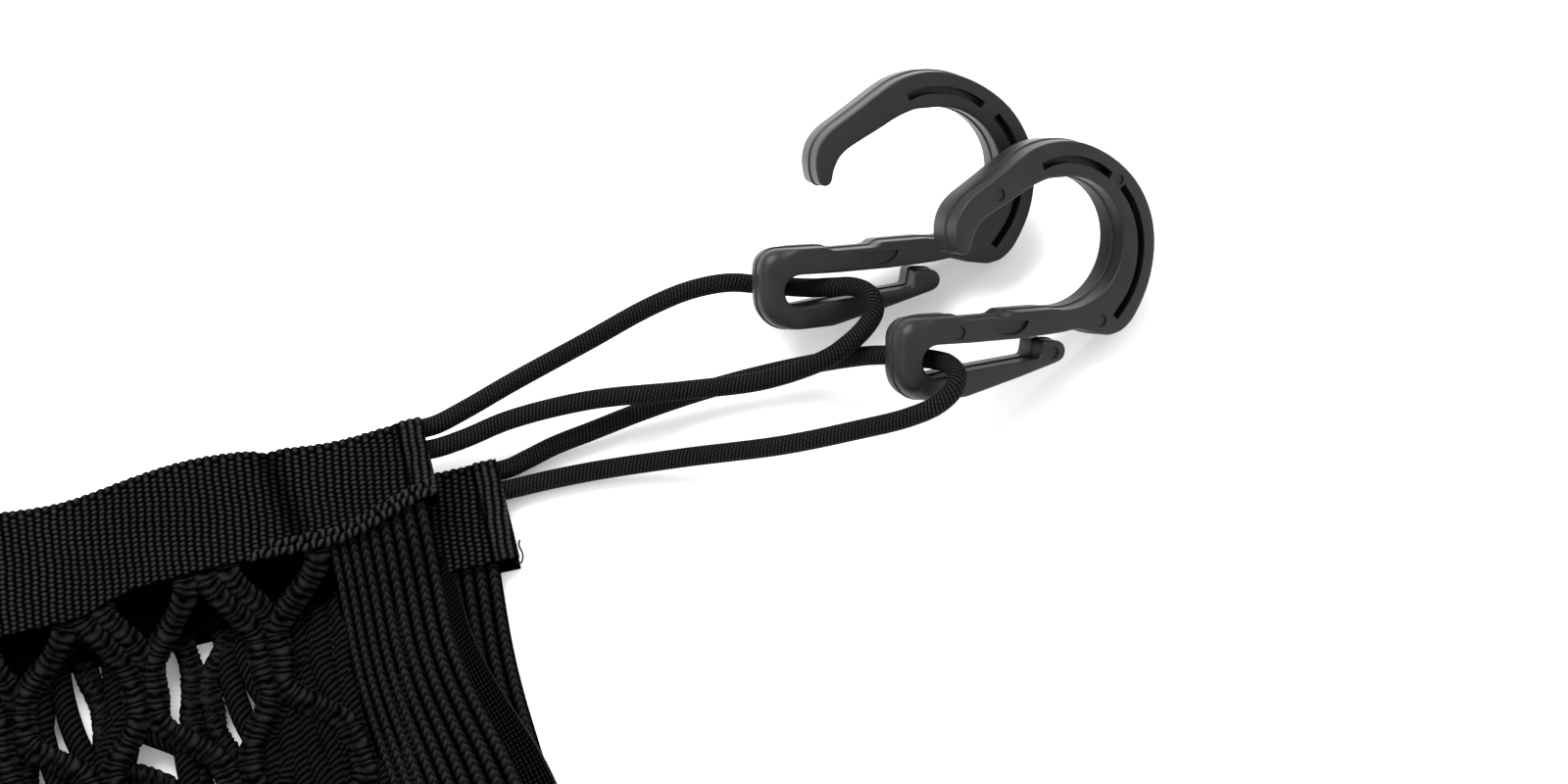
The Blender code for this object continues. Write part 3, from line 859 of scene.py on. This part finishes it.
def rowHeight(t, u, layer):
    # height of row t: 0 inside the band, then the first rows, then even rows to the fold
    rows = netSizes["rows"]
    fold = layout["bottom"] + 5.4
    inside = bandLow(u * 318.0, layer) + 4.0
    first, second = firstRows[layer]
    upper = inside + (first - inside) * np.clip(t, 0.0, 1.0)
    middle = (second - first) * np.clip(t - 1.0, 0.0, 1.0)
    lower = (fold - second) * np.clip(t - 2.0, 0.0, rows) / (rows - 2)
    return upper + middle + lower


def latticeShifts(layer):
    # seeded unevenness of every node, with the named pulls near the right corner
    size, cells = netSizes, layout["cells"]
    uneven = np.random.default_rng(11 if layer == "front" else 12)
    shape = (size["rows"] + 1, 2 * cells + 1)
    shift = np.stack([uneven.normal(0.0, 1.7, shape), uneven.normal(0.0, 1.8, shape)], -1)
    shift[0, :, 1] = 0.0
    shift[-1] = 0.0
    for row, column, x, y in nodePulls[layer]:
        shift[row, column] = (x, y)
    return shift


def strandPath(k, layer, t, slack=0.0):
    # path of strand k at row coordinates t. It zigzags between node columns k and k + 1, touching
    # its neighbour at each: x = x0 + (x1 - x0) * smooth((part - 0.2) / 0.6), with part along a row
    size, cells = netSizes, layout["cells"]
    shift = latticeShifts(layer)
    rows = np.arange(size["rows"] + 1)
    column = np.where((rows + k) % 2 == 0, k, k + 1)
    lean = np.where(column == k, 1.0, -1.0)
    pull = shift[rows, column]
    cell = np.clip(np.floor(t).astype(int), 0, size["rows"] - 1)
    part = t - cell
    ease = smooth((part - 0.2) / 0.6)
    u = 2.0 * (column[cell] + (column[cell + 1] - column[cell]) * ease) / (2 * cells) - 1.0
    share = smooth(1.0 - t / size["rows"])
    u = u + slack / 325.0
    y = rowHeight(t - 0.08 * slack * smooth(t / 0.5), u, layer)
    y = y + pull[cell, 1] * (1 - part) + pull[cell + 1, 1] * part
    half = sideEdge(y, layer) - layout["elasticWidth"] - layout["seamGap"]
    x = gathered(u, share, layer) * half
    aside = (lean[cell] * (1 - ease) + lean[cell + 1] * ease) * size["strand"] * 0.95
    bow = 1.3 * np.sin(math.pi * part) * np.sin(5.1 * cell + 2.7 * k + 1.9 * (layer == "back"))
    x = x + aside + bow + pull[cell, 0] * (1 - ease) + pull[cell + 1, 0] * ease
    x = np.clip(x, -half + 1.0, half + 6.0 * smooth(t / 0.6) * (k == 2 * cells - 1))
    hump = 0.35 * np.sin(2.4 * t + 1.7 * k)
    z = layerHeight(x, y, layer, size["frontMid"] if layer == "front" else size["backMid"])
    return np.stack([x, y, z + (hump + min(0.28 * abs(slack), 1.5)) * smooth(t / 0.5)], 1)


def strandGrid(path, sides, height, layer):
    # braided strand of four columns of slanting yarns, uneven along its length, with the radius
    # R + swell + height (|sin(pi (s / pitch + slope tri(angle)))|^0.6 columns - 0.6) and
    # columns 0.62 + 0.38 |sin(2 angle + twist)|^0.5, pressed flatter between the band's leaves
    size = netSizes
    s = along(path)
    sideways, normal = frames(path, np.array([1.0, 0.0, 0.0]))
    angles = np.linspace(0.0, 2 * math.pi, sides, endpoint=False)
    tri = np.abs(np.mod(angles / (0.5 * math.pi), 2.0) - 1.0)[None]
    phase = path[0, 0]
    uneven = 0.3 * np.sin(0.9 * s + phase) + 0.22 * np.sin(2.3 * s + 2.0 * phase)
    turns = (s + uneven)[:, None] / size["braidPitch"] + size["braidSlope"] * tri
    yarn = np.abs(np.sin(math.pi * turns)) ** 0.6
    twist = (0.05 * s + 0.5 * np.sin(0.35 * s + phase))[:, None]
    columns = 0.62 + 0.38 * np.abs(np.sin(2 * angles[None] + twist)) ** 0.5
    swell = (height > 0) * 0.14 * np.sin(0.55 * s + 3.0 * phase)[:, None]
    radius = size["strand"] + swell + height * (yarn * columns - 0.6)
    low = bandLow(path[:, 0], layer)
    pressed = smooth((path[:, 1] - low + 3.0) / 4.0)[:, None]
    grid = ring(path, sideways, normal, angles, radius * (1 + 0.1 * pressed), radius * (1 - 0.42 * pressed))
    # the third value is painted shade between the yarns and painted sheen on them, or even tone without braid
    # height
    return grid, s, yarn * columns if height else np.ones_like(radius)


def makeStrands(name, runs, sides, height, material):
    grids, alongs, reliefs = zip(*(strandGrid(path, sides, height, layer) for path, layer in runs))
    around = np.linspace(0.0, 2 * math.pi * netSizes["strand"], sides + 1)
    piece = tubes(name, grids, alongs, [around] * len(runs), material, reliefs)
    return piece


def foldPath(front, back):
    # the turn at the bottom, a half circle from the front layer's end to the back layer's
    start, end = front[-1], back[-1]
    turn = np.linspace(0.0, math.pi, 9)[1:-1]
    mid, reach = 0.5 * (start + end), 0.5 * (start[2] - end[2])
    return np.stack([mid[0] + 0.5 * (start[0] - end[0]) * np.cos(turn), mid[1] - reach * 1.1 * np.sin(turn),
                     mid[2] + reach * np.cos(turn)], 1)


def makeNet():
    size = netSizes
    total, rows, nearRows = 2 * layout["cells"], netSizes["rows"], netSizes["nearRows"]
    nearSets = {layer: range(total - size[f"{layer}Near"], total) for layer in ("front", "back")}
    pieces, doubled = {}, []
    t = steps(0.0, 0.98, size["frontStep"])
    for k in size["doubled"]:  # a second strand beside each one that leaves the band to the right
        path = strandPath(k, "front", t)
        path += np.stack([4.6 - 1.2 * t, 0.6 + 1.4 * t, 0.3 - 2.6 * smooth((t - 0.7) / 0.28)], 1)
        doubled.append((path, "front"))
    for layer, step in (("front", size["frontStep"]), ("back", size["backStep"])):
        t = steps(0.0, nearRows, step)
        runs = [(strandPath(k, layer, t), layer) for k in nearSets[layer]]
        runs += doubled if layer == "front" else []
        pieces[layer] = makeStrands(f"net_strands_{layer}_corner", runs, size["side"][layer],
                                    size["braidHeight"], yarnMaterial)
    # slack netting of the back layer, bunched in a pleat towards the corner
    t = steps(0.0, nearRows + 0.9, size["pleatStep"])
    runs = [(strandPath(k, "back", t, slack), "back") for slack in size["pleatSlack"] for k in size["pleat"]]
    pieces["pleat"] = makeStrands("net_strands_pleat", runs, size["side"]["pleat"], 0.0, farYarnMaterial)
    runs = []
    for k in range(total):
        ends = [nearRows - 0.02 if k in nearSets[layer] else 0.0 for layer in ("front", "back")]
        front = strandPath(k, "front", steps(ends[0], rows, size["farStep"]))
        back = strandPath(k, "back", steps(ends[1], rows, size["farStep"]))
        runs.append((np.vstack([front, foldPath(front, back), back[::-1]]), "front"))
    pieces["rest"] = makeStrands("net_strands", runs, size["side"]["far"], 0.0, farYarnMaterial)
    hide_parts("net")
    return pieces


makeNet()
print("net made")


# Ribbed side elastics

elasticSizes = {
    "thickness": 2.0, "step": 0.36, "farStep": 3.0, "nearTo": 50.0, "backMid": 1.0, "frontMid": 6.2,
    "ribs": (0.0, 2.7, 5.4, 8.0, 10.5, 12.9, 15.1, 17.2, 19.2, 21.1), "ribHeight": 0.9,
    "chevronPitch": 1.7, "chevronHeight": 0.5,
}


def elasticProfile():
    # section across the strip: distance in from the outer side, which face, height above the
    # middle and place across a rib. Both faces carry half-round ribs, wide at the outer side
    size = elasticSizes
    edges = np.array(size["ribs"] + (layout["elasticWidth"],))
    t = np.linspace(0.0, 1.0, 7)[:-1]
    across = (edges[:-2, None] + (edges[1:-1] - edges[:-2])[:, None] * t[None]).reshape(-1)
    share = np.tile(t, len(edges) - 2)
    across = np.append(across, edges[-2:])
    share = np.append(share, (0.0, 0.0))
    height = size["thickness"] / 2 - size["ribHeight"] + size["ribHeight"] * np.sin(math.pi * share) ** 0.6
    face = np.concatenate([np.ones(len(across)), -np.ones(len(across))])
    return (np.concatenate([across, across[::-1]]), face, np.concatenate([height, height[::-1]]),
            np.concatenate([share, share[::-1]]))


def elasticFlare(y):
    # how far the front strip spreads outwards below the corner
    return 4.6 * smooth((108.0 - y) / 48.0) * smooth((y + 60.0) / 80.0)


def elasticPath(side):
    # stations as (layer flag, y) from the front band down, round the fold and up to the back band
    size = elasticSizes
    topFront = float(bandLow(325.0, "front")) + layout["tuck"] - 2.0
    topBack = float(bandLow(336.0, "back")) + layout["tuck"] - 2.0
    fold = layout["bottom"] + 5.6
    step = size["step"] if side > 0 else 5.0
    frontY = joined(steps(topFront, size["nearTo"], step), steps(size["nearTo"], fold, size["farStep"]))
    backY = joined(steps(fold, size["nearTo"], size["farStep"]), steps(size["nearTo"], topBack, step))
    return frontY, backY, fold


def makeElastic(side, word):
    # ribbed strip: the section is carried down the front layer, round the fold and up the back.
    # Chevrons |sin(pi (s / pitch + |2t - 1|))| stand on each rib
    size = elasticSizes
    across, face, height, share = elasticProfile()
    crest = np.sin(math.pi * share)[None] ** 0.5
    frontY, backY, fold = elasticPath(side)
    grids, raised = [], []
    for layer, y in (("front", frontY), ("back", backY)):
        front = layer == "front"
        resting = size["frontMid"] if front else size["backMid"]
        flare = elasticFlare(y)[:, None] * (1.0 - across[None] / layout["elasticWidth"]) * front
        x = sideEdge(y, layer)[:, None] - across[None]
        z = layerHeight(x, y[:, None], layer, resting)
        turns = y[:, None] / size["chevronPitch"] + np.abs(2 * share[None] - 1.0) * 0.8
        rib = np.abs(np.sin(math.pi * turns)) ** 0.6
        live = smooth((y[:, None] - size["nearTo"] + 2.0) / 2.0)
        lump = live * size["chevronHeight"] * (rib - 0.8)
        lift = face[None] * (height[None] + lump) * (1.0 if front else -1.0)
        grids.append(np.stack([side * (x + flare), np.broadcast_to(y[:, None], x.shape), z + lift], -1))
        # painted shade: darker at the rib edges and, near the corner, between the chevrons
        raised.append(crest * (1.0 - 0.75 * live * (1.0 - rib)))
    radius = 0.5 * (size["frontMid"] - size["backMid"])
    turn = np.radians(np.linspace(90.0, -90.0, 13))[1:-1, None]
    reach = radius + face[None] * height[None]
    xFold = sideEdge(fold, "back") - across[None] + 0.0 * turn
    zFold = 0.5 * (size["frontMid"] + size["backMid"]) + reach * np.sin(turn)
    foldGrid = np.stack([side * xFold, fold - reach * np.cos(turn), zFold], -1)
    grid = np.concatenate([grids[0], foldGrid, grids[1]])
    s = along(grid[:, 0])
    around = np.concatenate([across, [0.0]])
    raised.insert(1, np.broadcast_to(raised[0][-1:], foldGrid.shape[:2]))
    piece = tubes(f"ribbed_elastic_{word}", [grid], [s], [around], elasticMaterial, [np.concatenate(raised)])
    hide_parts(f"side_elastic_{word}")
    return piece


for side, word in ((1, "right"), (-1, "left")):
    makeElastic(side, word)
print("elastics made")


# Trims: rolled selvedge beside the front elastic, its thread, the band's overlocked edge

trimSizes = {
    "rollThick": 1.7, "rollPitch": 1.0, "thread": 0.32, "lockRadius": 0.85,
    "lockPitch": 1.5, "lockFrom": 298.0, "lockTo": 336.4,
}


def rollWidth(y):
    # width of the rolled selvedge outside the front elastic, widest a hand's width below the band
    return 2.4 + 3.4 * smooth((119.0 - y) / 50.0) - 3.6 * smooth((40.0 - y) / 60.0)


def thinTube(name, path, axes, thickness, s, around, material):
    # a plain six-sided thread
    turn = np.linspace(0.0, 2 * math.pi, 6, endpoint=False)
    radius = np.full((len(path), 6), thickness)
    grid = ring(path, *axes, turn, radius, radius)
    return tubes(name, [grid], [s], [np.linspace(0.0, around, 7)], material)


def makeRoll(side, word):
    # rolled selvedge: a flat tube hanging down and out from the elastic's outer side, in rows of
    # small lumps |sin(pi s / pitch + pi row / 2)| |sin(rows angle)|
    size = trimSizes
    y = joined(steps(121.0, 50.0, 0.3 if side > 0 else 2.0), steps(50.0, -138.0, 2.5))
    inner = sideEdge(y, "front") + elasticFlare(y) - 1.4
    width = rollWidth(y) + 1.4
    angles = np.linspace(0.0, 2 * math.pi, 44, endpoint=False)
    fine = smooth((y - 49.0) / 2.0)[:, None]
    row = np.floor(angles / (2 * math.pi) * 22.0)[None]
    lump = np.abs(np.sin(math.pi * (y[:, None] / size["rollPitch"] + 0.5 * row)))
    lump = lump * np.abs(np.sin(11.0 * angles))[None] ** 0.5
    out = 0.5 + 0.5 * np.cos(angles)[None]
    x = inner[:, None] + width[:, None] * out
    fall = 2.9 * smooth(out) * np.clip(width[:, None] / 8.0, 0.3, 1.0)
    z = 6.4 - fall + (size["rollThick"] / 2 + 0.3 * fine * (lump - 0.5)) * np.sin(angles)[None]
    grid = np.stack([side * x, np.broadcast_to(y[:, None], x.shape), z], -1)
    around = np.linspace(0.0, 18.0, 45)
    # painted shade between the lumps near the corner
    raised = 1.0 - fine * 0.85 * (1.0 - lump)
    roll = tubes(f"rolled_selvedge_{word}", [grid], [-y], [around], elasticMaterial, [raised])
    edge = np.stack([side * (inner + width + 0.1), y, np.full_like(y, 3.7)], 1)
    axes = frames(edge, np.array([1.0, 0.0, 0.0]))
    thread = thinTube(f"edge_thread_{word}", edge, axes, size["thread"], -y, 2.0, threadMaterial)


def makeOverlock(side, word):
    # two rows of braided stitches over the front band's lower edge: tubes that swell
    # and wander, radius R (0.65 + 0.35 |sin(pi x / pitch)|)
    size = trimSizes
    grids, alongs, reliefs = [], [], []
    turn = np.linspace(0.0, 2 * math.pi, 14, endpoint=False)
    for row, shift in enumerate((0.5, 2.3)):
        x = steps(size["lockFrom"] + 4.0 * row, size["lockTo"], 0.22)
        y = bandLow(x, "front") + shift + 0.25 * np.sin(x * 1.7 + 2.0 * row)
        z = bandMiddle(x, y, "front") + bandSizes["radius"] + bandSizes["leaf"] / 2 + 0.15
        path = np.stack([x, y, z], 1)
        sideways, normal = frames(path, np.array([0.0, 1.0, 0.0]))
        turns = x[:, None] / size["lockPitch"] + turn[None] / (2 * math.pi) + 0.5 * row
        twist = np.abs(np.sin(math.pi * turns))
        radius = size["lockRadius"] * (0.6 + 0.4 * twist ** 0.6)
        grid = ring(path, sideways, normal, turn, radius, radius)
        grid[:, :, 0] *= side
        grids.append(grid)
        alongs.append(x)
        # the twist is also painted shade between the stitches
        reliefs.append(twist)
    around = [np.linspace(0.0, 5.0, 15)] * 2
    piece = tubes(f"overlocked_edge_{word}", grids, alongs, around, webbingMaterial, reliefs)


def makeLooseThread():
    # a short frayed yarn standing out of the back band's corner
    path = smoothRoute([(350.0, 117.6, 3.0), (350.9, 117.0, 3.6), (351.5, 118.4, 4.2), (351.2, 120.6, 4.4),
                        (351.6, 121.8, 4.0)], 0.3)
    axes = carriedFrames(path, (0.0, 0.0, 1.0))
    yarn = thinTube("loose_thread", path, axes, 0.2, along(path), 1.2, yarnMaterial)


makeLooseThread()
threadLook = dict(braidLook, light=(0.025, 0.025, 0.025), dark=(0.002, 0.002, 0.002), specular=0.02)
threadMaterial = fabric("greyThread", threadLook)
for side, word in ((1, "right"), (-1, "left")):
    makeRoll(side, word)
    makeOverlock(side, word)
print("trims made")
